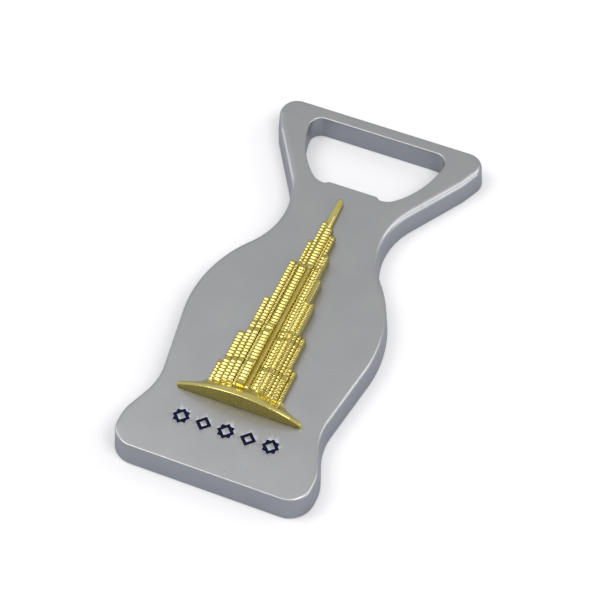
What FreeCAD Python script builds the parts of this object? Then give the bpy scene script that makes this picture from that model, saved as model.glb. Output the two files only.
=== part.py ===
import FreeCAD, Part
import math
import os

import Sketcher
from FreeCAD import Placement, Rotation, Vector

# Souvenir bottle opener: a die-cast zinc plate with a cap window in its head, five small enamel
# ornaments let into its foot, and a gold-plated casting of a stepped high-rise on its face.
# Frame: millimetres, back face on z = 0, front face up (+Z), head towards +Y, centred on x = y = 0.

doc = FreeCAD.newDocument("bottle_opener")
sheet = doc.addObject("Spreadsheet::Sheet", "Dims")

DIMENSIONS = [
    # alias, value, meaning
    ("plate_thickness", 6.8, "back face to front face"),
    ("wall_draft", 4.0, "degrees that the outer wall leans in towards the front"),
    ("front_edge_radius", 1.1, "rounding where the wall meets the front face"),
    ("back_edge_radius", 0.4, "rounding where the wall meets the back face"),
    ("base_corner_x", 24.3, "outline corners at the back face, before rounding"),
    ("base_corner_y", -56.0, ""),
    ("base_corner_radius", 5.9, ""),
    ("hip_x", 24.5, ""),
    ("hip_y", -46.5, ""),
    ("hip_radius", 12.0, ""),
    ("waist_x", 20.4, ""),
    ("waist_y", -36.1, ""),
    ("waist_radius", 15.5, ""),
    ("belly_x", 25.8, ""),
    ("belly_y", -1.8, ""),
    ("belly_radius", 33.2, ""),
    ("neck_x", 9.2, ""),
    ("neck_y", 20.3, ""),
    ("neck_radius", 19.2, ""),
    ("cheek_x", 24.6, ""),
    ("cheek_y", 45.1, ""),
    ("cheek_radius", 14.6, ""),
    ("head_corner_x", 29.5, ""),
    ("head_corner_y", 56.0, ""),
    ("head_corner_radius", 4.7, ""),
    ("window_bottom_y", 32.7, "cap window: lower edge"),
    ("window_top_y", 51.9, "upper edge"),
    ("window_side_radius", 24.6, "each side is one long arc"),
    ("window_side_centre_x", 6.7, "that arc's centre, past the middle on the other side"),
    ("window_side_centre_y", 51.4, ""),
    ("window_bottom_radius", 4.5, "lower corners"),
    ("window_top_radius", 3.0, "upper corners"),
    ("window_rim_radius", 0.3, "rounding of the window's edges"),
    ("lip_height", 0.7, "cap lip: how far it stands into the window"),
    ("lip_half_width", 6.2, "half of its straight edge"),
    ("lip_shoulder", 1.0, "width of each sloping shoulder"),
    ("lip_thickness", 2.6, "left at the front when its back is scooped out"),
    ("scoop_half_width", 8.0, "scoop behind the lip"),
    ("scoop_depth", 2.4, "how far it reaches down from the window's lower edge"),
    ("scoop_corner_radius", 2.0, ""),
    ("film_thickness", 0.1, "adhesive between relief and plate"),
    ("film_inset", 0.3, "how far the film stays inside the relief's foot"),
    ("peg_radius", 1.5, "locating pegs under the relief"),
    ("peg_length", 3.0, "below the plate's front face"),
    ("peg_hole_radius", 1.6, ""),
    ("peg_hole_depth", 3.3, ""),
    ("low_peg_y", -26.0, ""),
    ("high_peg_y", -2.0, ""),
    ("peg_x", -0.5, ""),
    ("podium_front_y", -36.6, "podium: flat front end"),
    ("podium_depth", 4.8, "front end to the back end, under the column feet"),
    ("podium_half_width", 15.5, ""),
    ("podium_tip_height", 0.7, ""),
    ("podium_height", 4.9, "at the middle of its arched front"),
    ("podium_mid_half_width", 13.3, "half-way back"),
    ("podium_mid_tip_height", 0.55, ""),
    ("podium_mid_height", 4.0, ""),
    ("podium_back_half_width", 9.15, "at its back"),
    ("podium_back_tip_height", 0.4, ""),
    ("podium_back_height", 2.4, ""),
    ("tower_foot_y", -33.0, "tower columns start here, inside the podium"),
    ("column_crown", 0.2, "rise of a column's rounded front, as a share of its width"),
    ("spire_x", -0.95, "spire: plain round rod"),
    ("spire_start_y", 17.5, ""),
    ("spire_end_y", 28.4, ""),
    ("spire_radius", 0.9, ""),
    ("motif_y", -43.5, "enamel ornaments: middle of the row"),
    ("motif_pitch", 5.5, "ornament to ornament"),
    ("star_radius", 2.15, "eight-pointed star: centre to point"),
    ("star_island_radius", 1.15, "metal square left inside the star"),
    ("lozenge_radius", 2.0, "lozenge: centre to point"),
    ("lozenge_island_radius", 0.95, ""),
    ("pocket_depth", 0.6, "depth of the ornaments' pockets"),
    ("enamel_depth", 0.45, "enamel laid in each pocket"),
    ("clearance", 1.0, "how far a cutting solid stands out of the face it cuts"),
]

# Tower columns: name, left x, right x, height above the plate, y of the upper end.
COLUMNS = [
    ("left_a", -9.1, -7.8, 1.7, -26.4),
    ("left_b", -7.8, -6.1, 2.5, -17.4),
    ("left_c", -6.1, -4.6, 3.2, -6.5),
    ("left_d", -4.6, -3.1, 3.7, 5.4),
    ("left_e", -3.1, -2.0, 3.2, 13.3),
    ("left_f", -2.1, -0.9, 2.4, 20.1),
    ("nose_low", -2.0, 0.0, 4.8, -14.2),
    ("nose_mid", -1.9, 0.9, 4.0, 5.0),
    ("nose_high", -0.9, 1.1, 3.1, 18.2),
    ("right_f", 1.1, 2.3, 2.4, 16.6),
    ("right_e", 2.3, 3.4, 3.2, 10.1),
    ("right_d", 3.4, 4.5, 3.6, 2.6),
    ("right_c", 4.5, 5.7, 3.2, -4.4),
    ("right_b", 5.7, 7.4, 2.5, -13.9),
    ("right_a", 7.4, 8.9, 1.7, -23.0),
]

# Film tiers: each lies under the tower between one left and one right column.
FILM_TIERS = [
    ("left_a", "right_a"),
    ("left_b", "right_b"),
    ("left_c", "right_c"),
    ("left_d", "right_d"),
    ("left_e", "right_e"),
]

for name, left, right, height, top in COLUMNS:
    DIMENSIONS += [
        (name + "_left", left, "tower column " + name),
        (name + "_right", right, ""),
        (name + "_height", height, "above the film"),
        (name + "_end", top, ""),
    ]

for row, (alias, number, meaning) in enumerate(DIMENSIONS, start=1):
    sheet.set("A%d" % row, alias)
    sheet.set("B%d" % row, str(number))
    sheet.setAlias("B%d" % row, alias)
    sheet.set("C%d" % row, meaning)
doc.recompute()

Z_AXIS = Vector(0, 0, 1)
START, END, CENTRE = 1, 2, 3
ORIGIN_POINT, VERTICAL_AXIS = -1, -2


def value(alias):
    return float(sheet.get(alias))


def make_body(name):
    return doc.addObject("PartDesign::Body", name)


def origin_plane(body, role):
    return next(item for item in body.Origin.OriginFeatures if item.Role == role)


def make_sketch(body, name, role, offset=None):
    """Sketch on one of the body's own origin planes, moved along its normal by an expression."""
    sketch = body.newObject("Sketcher::SketchObject", name)
    sketch.AttachmentSupport = [(origin_plane(body, role), "")]
    sketch.MapMode = "FlatFace"
    if offset:
        sketch.setExpression("AttachmentOffset.Base.z", offset)
    return sketch


def dimension(sketch, name, expression, *constraint):
    """Add a driving constraint, name it and bind it to the sheet."""
    index = sketch.addConstraint(Sketcher.Constraint(*constraint))
    sketch.renameConstraint(index, name)
    sketch.setExpression("Constraints." + name, expression)


def tangent_points(before, corner, after, radius):
    """Entry, centre, exit and turn side of the arc that rounds a corner."""
    towards_before = (before - corner).normalize()
    towards_after = (after - corner).normalize()
    half_angle = towards_before.getAngle(towards_after) / 2
    run = radius / math.tan(half_angle)
    middle = (towards_before + towards_after).normalize()
    centre = corner + middle * (radius / math.sin(half_angle))
    turns_left = towards_before.cross(towards_after).z < 0
    return corner + towards_before * run, centre, corner + towards_after * run, turns_left


def arc_between(centre, first, last):
    """Counter-clockwise arc from first to last."""
    circle = Part.Circle(centre, Z_AXIS, (first - centre).Length)
    return Part.ArcOfCircle(circle, circle.parameter(first), circle.parameter(last))


def rounded_outline(sketch, names):
    """Closed outline, symmetric about the vertical axis: straight runs through the named
    corners and their mirror images, each corner rounded by a tangent arc."""
    right = [Vector(value(n + "_x"), value(n + "_y"), 0) for n in names]
    corners = right + [Vector(-p.x, p.y, 0) for p in reversed(right)]
    labels = names + [None] * len(names)
    radii = [value(n + "_radius") for n in names]
    radii += radii[::-1]
    count = len(corners)
    rounds = [
        tangent_points(corners[i - 1], corners[i], corners[(i + 1) % count], radii[i])
        for i in range(count)
    ]
    points, arcs, lines = [], [], []
    for corner, (entry, centre, leave, turns_left) in zip(corners, rounds):
        points.append(sketch.addGeometry(Part.Point(corner), True))
        ends = (entry, leave) if turns_left else (leave, entry)
        arcs.append(sketch.addGeometry(arc_between(centre, *ends), False))
    for i in range(count):
        run = Part.LineSegment(rounds[i][2], rounds[(i + 1) % count][0])
        lines.append(sketch.addGeometry(run, False))
    for i in range(count):
        turns_left = rounds[i][3]
        entry_end, leave_end = (START, END) if turns_left else (END, START)
        following = (i + 1) % count
        sketch.addConstraint([
            Sketcher.Constraint("Tangent", lines[i - 1], END, arcs[i], entry_end),
            Sketcher.Constraint("Tangent", lines[i], START, arcs[i], leave_end),
            Sketcher.Constraint("PointOnObject", points[i], START, lines[i]),
            Sketcher.Constraint("PointOnObject", points[following], START, lines[i]),
        ])
    for i, label in enumerate(labels):
        mirror = count - 1 - i
        if label:
            for axis, end in (("DistanceX", "_x"), ("DistanceY", "_y")):
                dimension(sketch, label + end, "Dims." + label + end,
                          axis, ORIGIN_POINT, START, points[i], START, value(label + end))
            dimension(sketch, label + "_radius", "Dims." + label + "_radius",
                      "Radius", arcs[i], value(label + "_radius"))
            sketch.addConstraint([
                Sketcher.Constraint("Symmetric", points[i], START, points[mirror], START, VERTICAL_AXIS),
                Sketcher.Constraint("Equal", arcs[i], arcs[mirror]),
            ])


def closed_chain(sketch, elements):
    """Add (geometry, joint) pairs end to end and join each to the next, tangent or plain."""
    ids = [sketch.addGeometry(geometry, False) for geometry, joint in elements]
    for i, (geometry, joint) in enumerate(elements):
        following = ids[(i + 1) % len(ids)]
        sketch.addConstraint(Sketcher.Constraint(joint, ids[i], END, following, START))
    return ids


def flipped(point):
    return Vector(-point.x, point.y, 0)


def window_outline(sketch):
    """Cap window with its lip: straight top and bottom, one long arc for each side."""
    top, bottom = value("window_top_y"), value("window_bottom_y")
    side_radius = value("window_side_radius")
    side_centre = Vector(-value("window_side_centre_x"), value("window_side_centre_y"), 0)
    low, high = value("window_bottom_radius"), value("window_top_radius")
    lip_end = Vector(value("lip_half_width"), bottom + value("lip_height"), 0)
    lip_foot = Vector(lip_end.x + value("lip_shoulder"), bottom, 0)

    def corner_centre(radius, level):
        reach = side_radius - radius
        return Vector(side_centre.x + math.sqrt(reach ** 2 - (level - side_centre.y) ** 2), level, 0)

    low_centre = corner_centre(low, bottom + low)
    high_centre = corner_centre(high, top - high)
    floor_end = Vector(low_centre.x, bottom, 0)
    side_low = side_centre + (low_centre - side_centre).normalize() * side_radius
    side_high = side_centre + (high_centre - side_centre).normalize() * side_radius
    roof_end = Vector(high_centre.x, top, 0)
    chain = closed_chain(sketch, [
        (Part.LineSegment(flipped(lip_end), lip_end), "Coincident"),
        (Part.LineSegment(lip_end, lip_foot), "Coincident"),
        (Part.LineSegment(lip_foot, floor_end), "Tangent"),
        (arc_between(low_centre, floor_end, side_low), "Tangent"),
        (arc_between(side_centre, side_low, side_high), "Tangent"),
        (arc_between(high_centre, side_high, roof_end), "Tangent"),
        (Part.LineSegment(roof_end, flipped(roof_end)), "Tangent"),
        (arc_between(flipped(high_centre), flipped(roof_end), flipped(side_high)), "Tangent"),
        (arc_between(flipped(side_centre), flipped(side_high), flipped(side_low)), "Tangent"),
        (arc_between(flipped(low_centre), flipped(side_low), flipped(floor_end)), "Tangent"),
        (Part.LineSegment(flipped(floor_end), flipped(lip_foot)), "Coincident"),
        (Part.LineSegment(flipped(lip_foot), flipped(lip_end)), "Coincident"),
    ])
    lip = chain[0]
    ledge, corner_low, side, corner_high, roof = chain[2:7]
    far_high, far_side, far_low, far_ledge = chain[7:11]
    sketch.addConstraint([
        Sketcher.Constraint("Symmetric", lip, START, lip, END, VERTICAL_AXIS),
        Sketcher.Constraint("Symmetric", ledge, START, far_ledge, END, VERTICAL_AXIS),
        Sketcher.Constraint("Symmetric", side, CENTRE, far_side, CENTRE, VERTICAL_AXIS),
        Sketcher.Constraint("Horizontal", ledge),
        Sketcher.Constraint("Horizontal", far_ledge),
        Sketcher.Constraint("Horizontal", roof),
        Sketcher.Constraint("Equal", corner_low, far_low),
        Sketcher.Constraint("Equal", side, far_side),
        Sketcher.Constraint("Equal", corner_high, far_high),
    ])
    for name, constraint in (
        ("window_bottom_y", ("DistanceY", ORIGIN_POINT, START, ledge, START)),
        ("window_top_y", ("DistanceY", ORIGIN_POINT, START, roof, START)),
        ("window_side_radius", ("Radius", side)),
        ("window_side_centre_x", ("DistanceX", side, CENTRE, ORIGIN_POINT, START)),
        ("window_side_centre_y", ("DistanceY", ORIGIN_POINT, START, side, CENTRE)),
        ("window_bottom_radius", ("Radius", corner_low)),
        ("window_top_radius", ("Radius", corner_high)),
        ("lip_height", ("DistanceY", ledge, START, lip, END)),
        ("lip_half_width", ("DistanceX", ORIGIN_POINT, START, lip, END)),
        ("lip_shoulder", ("DistanceX", lip, END, ledge, START)),
    ):
        dimension(sketch, name, "Dims." + name, *constraint, value(name))


def centred_slot(sketch, width, low, high, radius):
    """Rectangle about the vertical axis with rounded lower corners. The sizes are expressions:
    half width, level of the lower side, level of the upper side and corner radius."""
    half, floor, roof, r = [number_of(e) for e in (width, low, high, radius)]
    centre = Vector(half - r, floor + r, 0)
    floor_end = Vector(half - r, floor, 0)
    wall_low, wall_high = Vector(half, floor + r, 0), Vector(half, roof, 0)
    chain = closed_chain(sketch, [
        (Part.LineSegment(flipped(floor_end), floor_end), "Tangent"),
        (arc_between(centre, floor_end, wall_low), "Tangent"),
        (Part.LineSegment(wall_low, wall_high), "Coincident"),
        (Part.LineSegment(wall_high, flipped(wall_high)), "Coincident"),
        (Part.LineSegment(flipped(wall_high), flipped(wall_low)), "Tangent"),
        (arc_between(flipped(centre), flipped(wall_low), flipped(floor_end)), "Tangent"),
    ])
    bottom, arc, wall, top, far_wall, far_arc = chain
    sketch.addConstraint([
        Sketcher.Constraint("Symmetric", top, START, top, END, VERTICAL_AXIS),
        Sketcher.Constraint("Vertical", wall),
        Sketcher.Constraint("Vertical", far_wall),
        Sketcher.Constraint("Horizontal", bottom),
        Sketcher.Constraint("Equal", arc, far_arc),
    ])
    dimension(sketch, "half_width", width, "DistanceX", ORIGIN_POINT, START, wall, END, half)
    dimension(sketch, "lower", low, "DistanceY", ORIGIN_POINT, START, bottom, START, floor)
    dimension(sketch, "upper", high, "DistanceY", ORIGIN_POINT, START, wall, END, roof)
    dimension(sketch, "corner", radius, "Radius", arc, r)


def number_of(expression):
    return float(doc.Dims.evalExpression(expression))


def circles_on_line(sketch, centre_x, radius, levels):
    """One circle at each level; all arguments are expressions."""
    for i, level in enumerate(levels):
        centre = Vector(number_of(centre_x), number_of(level), 0)
        circle = sketch.addGeometry(Part.Circle(centre, Z_AXIS, number_of(radius)), False)
        dimension(sketch, "x_%d" % i, centre_x, "DistanceX", ORIGIN_POINT, START, circle, CENTRE, centre.x)
        dimension(sketch, "y_%d" % i, level, "DistanceY", ORIGIN_POINT, START, circle, CENTRE, centre.y)
        dimension(sketch, "radius_%d" % i, radius, "Radius", circle, number_of(radius))


def crowned_profile(sketch, left, right, low, wall, crown):
    """Flat bottom, two straight sides and an arched top. All sizes are expressions: left and
    right side, level of the bottom, level where the sides end, level of the arch's crown."""
    x0, x1, base, side, peak = [number_of(e) for e in (left, right, low, wall, crown)]
    half = (x1 - x0) / 2
    middle = (x0 + x1) / 2
    rise = peak - side
    radius = (half ** 2 + rise ** 2) / (2 * rise)
    centre = Vector(middle, peak - radius, 0)
    chain = closed_chain(sketch, [
        (Part.LineSegment(Vector(x0, base, 0), Vector(x1, base, 0)), "Coincident"),
        (Part.LineSegment(Vector(x1, base, 0), Vector(x1, side, 0)), "Coincident"),
        (arc_between(centre, Vector(x1, side, 0), Vector(x0, side, 0)), "Coincident"),
        (Part.LineSegment(Vector(x0, side, 0), Vector(x0, base, 0)), "Coincident"),
    ])
    bottom, right_wall, arc, left_wall = chain
    top = sketch.addGeometry(Part.Point(Vector(middle, peak, 0)), True)
    sketch.addConstraint([
        Sketcher.Constraint("Horizontal", bottom),
        Sketcher.Constraint("Vertical", right_wall),
        Sketcher.Constraint("Vertical", left_wall),
        Sketcher.Constraint("Equal", left_wall, right_wall),
        Sketcher.Constraint("PointOnObject", top, START, arc),
        Sketcher.Constraint("Vertical", top, START, arc, CENTRE),
    ])
    dimension(sketch, "left", left, "DistanceX", ORIGIN_POINT, START, bottom, START, x0)
    dimension(sketch, "right", right, "DistanceX", ORIGIN_POINT, START, bottom, END, x1)
    dimension(sketch, "low", low, "DistanceY", ORIGIN_POINT, START, bottom, START, base)
    dimension(sketch, "wall", wall, "DistanceY", ORIGIN_POINT, START, right_wall, END, side)
    dimension(sketch, "crown", crown, "DistanceY", ORIGIN_POINT, START, top, START, peak)


def feature(body, kind, name, **settings):
    """PartDesign feature whose string settings are expressions and the others plain values."""
    item = body.newObject("PartDesign::" + kind, name)
    for setting, content in settings.items():
        if isinstance(content, str) and setting not in ("Type", "SideType"):
            item.setExpression(setting, content)
        else:
            setattr(item, setting, content)
    doc.recompute()
    return item


def dress(body, kind, name, base, edges, size):
    """Fillet on chosen edges of the body's last feature."""
    item = body.newObject("PartDesign::" + kind, name)
    item.Base = (base, edges)
    item.setExpression("Radius", size)
    doc.recompute()
    return item


def edges_at(item, level, chosen=lambda edge: True):
    """Names of the edges that lie flat at one level."""
    names = []
    for number, edge in enumerate(item.Shape.Edges, start=1):
        box = edge.BoundBox
        flat = abs(box.ZMin - level) < 1e-6 and abs(box.ZMax - level) < 1e-6
        if flat and chosen(edge):
            names.append("Edge%d" % number)
    return names


def must_shrink(item, before):
    """A cut that points away from the solid changes nothing, so its volume is compared."""
    if not item.Shape.Volume < before.Shape.Volume - 1e-3:
        raise RuntimeError(item.Name + " removed nothing")


# ---------------------------------------------------------------- plate

thickness = value("plate_thickness")
plate_body = make_body("PlateBody")
outline = make_sketch(plate_body, "PlateOutline", "XY_Plane")
rounded_outline(outline, ["base_corner", "hip", "waist", "belly", "neck", "cheek", "head_corner"])
slab = feature(plate_body, "Pad", "PlateSlab", Profile=outline, Length="Dims.plate_thickness",
               TaperAngle="-Dims.wall_draft")
front_edge = dress(plate_body, "Fillet", "FrontEdge", slab, edges_at(slab, thickness),
                   "Dims.front_edge_radius")
back_edge = dress(plate_body, "Fillet", "BackEdge", front_edge, edges_at(front_edge, 0),
                  "Dims.back_edge_radius")

window = make_sketch(plate_body, "WindowOutline", "XY_Plane")
window_outline(window)
window_cut = feature(plate_body, "Pocket", "CapWindow", Profile=window, Type="ThroughAll", Reversed=True)
must_shrink(window_cut, back_edge)

scoop = make_sketch(plate_body, "ScoopOutline", "XY_Plane")
centred_slot(scoop, "Dims.scoop_half_width", "Dims.window_bottom_y - Dims.scoop_depth",
             "Dims.window_bottom_y + 2 * Dims.lip_height", "Dims.scoop_corner_radius")
scoop_cut = feature(plate_body, "Pocket", "LipScoop", Profile=scoop, Type="Length",
                    Length="Dims.plate_thickness - Dims.lip_thickness", Reversed=True)
must_shrink(scoop_cut, window_cut)

pegs_plan = make_sketch(plate_body, "PegHoleCentres", "XY_Plane", "Dims.plate_thickness")
circles_on_line(pegs_plan, "Dims.peg_x", "Dims.peg_hole_radius", ["Dims.low_peg_y", "Dims.high_peg_y"])
peg_holes = feature(plate_body, "Pocket", "PegHoles", Profile=pegs_plan, Type="Length",
                    Length="Dims.peg_hole_depth")
must_shrink(peg_holes, scoop_cut)


def on_window_rim(edge):
    box = edge.BoundBox
    inside = abs(box.Center.x) < value("window_side_radius") - value("window_side_centre_x")
    return inside and value("window_bottom_y") - 1e-3 < box.YMin and box.YMax < value("window_top_y") + 1e-3


rim_edges = edges_at(peg_holes, thickness, on_window_rim)
dress(plate_body, "Fillet", "WindowRim", peg_holes, rim_edges, "Dims.window_rim_radius")

# ---------------------------------------------------------------- enamel ornaments


def square_prism(name, radius, corner_up, x, bottom, height):
    """Square prism centred on the ornament row; a corner or a side faces the head."""
    prism = doc.addObject("Part::Prism", name)
    prism.Polygon = 4
    prism.setExpression("Circumradius", radius)
    prism.setExpression("Height", height)
    prism.setExpression("Placement.Base.x", x)
    prism.setExpression("Placement.Base.y", "Dims.motif_y")
    prism.setExpression("Placement.Base.z", bottom)
    prism.setExpression("Placement.Rotation.Angle", "0" if corner_up else "45")
    return prism


def ornament(name, kind, x, bottom, height):
    """Ring: an eight-pointed star or a lozenge, with a lozenge-shaped hole in its middle."""
    outer = square_prism(name + "Outer", "Dims.%s_radius" % kind, True, x, bottom, height)
    if kind == "star":
        turned = square_prism(name + "Turned", "Dims.star_radius", False, x, bottom, height)
        star = doc.addObject("Part::Fuse", name + "Star")
        star.Base = outer
        star.Tool = turned
        outer = star
    island = square_prism(name + "Island", "Dims.%s_island_radius" % kind, True, x, bottom, height)
    ring = doc.addObject("Part::Cut", name)
    ring.Base = outer
    ring.Tool = island
    return ring


ORNAMENTS = ["star", "lozenge", "star", "lozenge", "star"]
pocket_floor = "Dims.plate_thickness - Dims.pocket_depth"
parts = []
pockets = []
for i, kind in enumerate(ORNAMENTS):
    across = "Dims.motif_pitch * (%d)" % (i - len(ORNAMENTS) // 2)
    enamel = ornament("Enamel%d" % (i + 1), kind, across, pocket_floor, "Dims.enamel_depth")
    enamel.Label = "enamel_motif_%d" % (i + 1)
    parts.append(enamel)
    pockets.append(ornament("Pocket%d" % (i + 1), kind, across, pocket_floor,
                            "Dims.pocket_depth + Dims.clearance"))

pocket_group = doc.addObject("Part::MultiFuse", "PocketGroup")
pocket_group.Shapes = pockets
plate = doc.addObject("Part::Cut", "Plate")
plate.Base = plate_body
plate.Tool = pocket_group
plate.Label = "opener_plate"
doc.recompute()
must_shrink(plate, plate_body)
parts.insert(0, plate)

# ---------------------------------------------------------------- tower relief

relief = make_body("ReliefBody")
relief.Label = "tower_relief"
relief_base = "Dims.plate_thickness + Dims.film_thickness"


def cross_section(name, station, left, right, tip, crown):
    """Arched section of the relief at one place along its length; heights are above its base."""
    sketch = make_sketch(relief, name, "XZ_Plane", "-(%s)" % station)
    crowned_profile(sketch, left, right, relief_base,
                    "%s + %s" % (relief_base, tip), "%s + %s" % (relief_base, crown))
    return sketch


podium_sections = []
for share, stem in ((0, "podium"), (0.5, "podium_mid"), (1, "podium_back")):
    podium_sections.append(cross_section(
        "Section_" + stem, "Dims.podium_front_y + %s * Dims.podium_depth" % share,
        "-Dims.%s_half_width" % stem, "Dims.%s_half_width" % stem,
        "Dims.%s_tip_height" % stem, "Dims.%s_height" % stem))
feature(relief, "AdditiveLoft", "Podium", Profile=podium_sections[0],
        Sections=podium_sections[1:])

for name, *_ in COLUMNS:
    rise = "Dims.column_crown * (Dims.%s_right - Dims.%s_left)" % (name, name)
    section = cross_section(
        "Section_" + name, "Dims.tower_foot_y", "Dims.%s_left" % name, "Dims.%s_right" % name,
        "Dims.%s_height - %s" % (name, rise), "Dims.%s_height" % name)
    feature(relief, "Pad", "Column_" + name, Profile=section, Reversed=True,
            Length="Dims.%s_end - Dims.tower_foot_y" % name)


def place(item, x, y, z, rotation=None):
    for axis, expression in (("x", x), ("y", y), ("z", z)):
        item.setExpression("Placement.Base." + axis, expression)
    if rotation:
        item.Placement = Placement(item.Placement.Base, rotation)


ALONG_Y = Rotation(Vector(1, 0, 0), -90)
spire_centre = relief_base + " + Dims.spire_radius"
spire = feature(relief, "AdditiveCylinder", "Spire", Radius="Dims.spire_radius",
                Height="Dims.spire_end_y - Dims.spire_radius - Dims.spire_start_y")
place(spire, "Dims.spire_x", "Dims.spire_start_y", spire_centre, ALONG_Y)
tip = feature(relief, "AdditiveSphere", "SpireTip", Radius="Dims.spire_radius")
place(tip, "Dims.spire_x", "Dims.spire_end_y - Dims.spire_radius", spire_centre)
for name in ("low_peg", "high_peg"):
    peg = feature(relief, "AdditiveCylinder", "Peg_" + name, Radius="Dims.peg_radius",
                  Height="Dims.peg_length + Dims.clearance")
    place(peg, "Dims.peg_x", "Dims.%s_y" % name, "Dims.plate_thickness - Dims.peg_length")
doc.recompute()
parts.append(relief)

# ---------------------------------------------------------------- adhesive film

film_tiers = []
tier_start = "Dims.podium_front_y + Dims.podium_depth / 2 - Dims.film_inset"
for left, right in FILM_TIERS:
    tier = doc.addObject("Part::Box", "Film_" + left)
    upper_end = "min(Dims.%s_end; Dims.%s_end)" % (left, right)
    tier.setExpression("Length", "Dims.%s_right - Dims.%s_left - 2 * Dims.film_inset" % (right, left))
    tier.setExpression("Width", upper_end + " - Dims.film_inset - (%s)" % tier_start)
    tier.setExpression("Height", "Dims.film_thickness")
    place(tier, "Dims.%s_left + Dims.film_inset" % left, tier_start, "Dims.plate_thickness")
    film_tiers.append(tier)
foot_film = doc.addObject("Part::Box", "Film_podium")
foot_film.setExpression("Length", "2 * (Dims.podium_mid_half_width - Dims.film_inset)")
foot_film.setExpression("Width", "Dims.podium_depth / 2 - Dims.film_inset")
foot_film.setExpression("Height", "Dims.film_thickness")
place(foot_film, "Dims.film_inset - Dims.podium_mid_half_width", "Dims.podium_front_y + Dims.film_inset",
      "Dims.plate_thickness")
film_tiers.append(foot_film)
film_sheet = doc.addObject("Part::MultiFuse", "FilmSheet")
film_sheet.Shapes = film_tiers
peg_openings = []
for name in ("low_peg", "high_peg"):
    opening = doc.addObject("Part::Cylinder", "FilmOpening_" + name)
    opening.setExpression("Radius", "Dims.peg_hole_radius")
    opening.setExpression("Height", "Dims.film_thickness + 2 * Dims.clearance")
    place(opening, "Dims.peg_x", "Dims.%s_y" % name, "Dims.plate_thickness - Dims.clearance")
    peg_openings.append(opening)
film_openings = doc.addObject("Part::MultiFuse", "FilmOpenings")
film_openings.Shapes = peg_openings
film = doc.addObject("Part::Cut", "Film")
film.Base = film_sheet
film.Tool = film_openings
film.Label = "relief_adhesive"
doc.recompute()
parts.append(film)

# ---------------------------------------------------------------- checks and export

for item in doc.Objects:
    if "Invalid" in item.State or "Error" in item.State:
        raise RuntimeError("%s: %s" % (item.Name, item.State))
for item in parts:
    if item.Shape.isNull() or not item.Shape.isValid():
        raise RuntimeError(item.Label + " has no valid shape")
    if len(item.Shape.Solids) != 1:
        raise RuntimeError("%s is %d solids" % (item.Label, len(item.Shape.Solids)))

os.makedirs("parts", exist_ok=True)
for item in parts:
    item.Shape.exportStep("parts/%s.step" % item.Label)
    print("%-18s %9.2f mm3" % (item.Label, item.Shape.Volume))
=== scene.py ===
import math

import bmesh
import bpy
import numpy as np
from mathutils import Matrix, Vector
from mathutils.geometry import delaunay_2d_cdt


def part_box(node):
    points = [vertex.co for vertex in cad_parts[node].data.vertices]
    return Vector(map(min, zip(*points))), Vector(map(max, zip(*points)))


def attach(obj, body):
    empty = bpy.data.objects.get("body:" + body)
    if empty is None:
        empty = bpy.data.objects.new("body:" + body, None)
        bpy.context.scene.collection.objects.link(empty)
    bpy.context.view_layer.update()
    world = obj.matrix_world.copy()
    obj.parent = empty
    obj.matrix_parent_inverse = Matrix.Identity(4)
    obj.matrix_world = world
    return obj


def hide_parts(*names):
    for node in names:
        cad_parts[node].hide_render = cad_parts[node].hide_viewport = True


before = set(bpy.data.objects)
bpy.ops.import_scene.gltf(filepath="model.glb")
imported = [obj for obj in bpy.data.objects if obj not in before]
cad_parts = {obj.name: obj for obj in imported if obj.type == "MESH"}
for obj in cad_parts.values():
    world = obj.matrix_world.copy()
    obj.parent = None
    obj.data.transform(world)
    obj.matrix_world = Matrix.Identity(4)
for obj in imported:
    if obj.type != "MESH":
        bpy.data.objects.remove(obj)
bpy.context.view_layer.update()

# Souvenir bottle opener. Sizes below are millimetres in the frame of the CAD model: back face on
# z = 0, front face up, head towards +Y. Meshes are made in millimetres and scaled to metres.
MM = 0.001
BODY = "root"
FRONT = round(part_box("opener_plate")[1].z / MM, 3)
RELIEF_FOOT = round(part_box("relief_adhesive")[1].z / MM, 3)
POCKET_FLOOR = round(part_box("enamel_motif_1")[0].z / MM, 3)
ENAMEL_TOP = round(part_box("enamel_motif_1")[1].z / MM, 3)

# Plate outline at the back face: x, y and rounding radius of each corner of the right half.
PLATE_CORNERS = [
    (24.3, -56.0, 5.9),
    (24.5, -46.5, 12.0),
    (20.4, -36.1, 15.5),
    (25.8, -1.8, 33.2),
    (9.2, 20.3, 19.2),
    (24.6, 45.1, 14.6),
    (29.5, 56.0, 4.7),
]
WALL_DRAFT = math.radians(4.0)
BACK_RADIUS = 0.4
# Rounding of the front edge along the plate: y and radius.
FRONT_RADIUS = [
    (-55.9, 0.4),
    (-54.5, 0.75),
    (-46, 0.85),
    (-20, 1.0),
    (5, 1.05),
    (20, 1.45),
    (32, 1.8),
    (48, 1.8),
    (55, 1.2),
]
# Heights of the wall's two middle rings, and rings used to round each edge of the plate.
WALL_RINGS = (2.0, 3.6)
BACK_STEPS, FRONT_STEPS = 7, 13

WINDOW_BOTTOM, WINDOW_TOP = 32.7, 51.9
SIDE_CENTRE, SIDE_RADIUS = (-6.7, 51.4), 24.6
LOW_RADIUS, HIGH_RADIUS = 4.5, 3.0
LIP_HEIGHT, LIP_HALF, LIP_SHOULDER, LIP_THICKNESS = 0.7, 6.2, 1.0, 2.6
LIP_CORNER = 0.5
# Heights over the window's lower edge: the lip's sharp rim ends, and the full rim begins.
LIP_BLEND = (1.2, 3.0)
RIM_RADIUS, LIP_EDGE_RADIUS, WINDOW_BACK_RADIUS = 0.35, 0.1, 0.3
SCOOP_HALF, SCOOP_DEPTH, SCOOP_RADIUS = 8.0, 2.4, 2.0

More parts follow.
